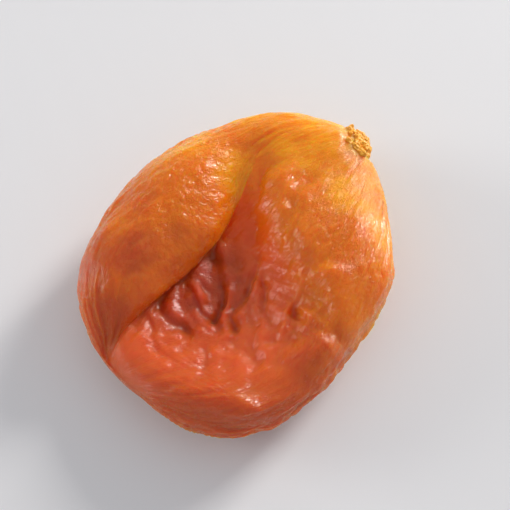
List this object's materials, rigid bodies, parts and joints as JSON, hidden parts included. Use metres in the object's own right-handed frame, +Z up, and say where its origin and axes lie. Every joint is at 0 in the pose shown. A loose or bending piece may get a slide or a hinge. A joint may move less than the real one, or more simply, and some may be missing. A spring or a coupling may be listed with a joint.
{
  "type": "dried apricot",
  "caption": "Whole dried apricot, stone removed: a thick cushion of shrunken flesh whose top folds into a suture crease and a puckered hollow, with a torn stem end",
  "frame": {"origin": "middle of the box at the height of the surface the fruit lies on", "axes": "+X along the suture towards the torn stem end, +Y towards the big lobe, +Z up out of the hollow side"},
  "size_m": [0.0456, 0.038, 0.0137],
  "materials": {
    "apricot_skin": "dried fruit skin, orange to deep red amber, translucent, satin on the rim and moist in the hollow"
  },
  "bodies": {
    "root": {"apricot": "apricot_skin"}
  },
  "joints": []
}
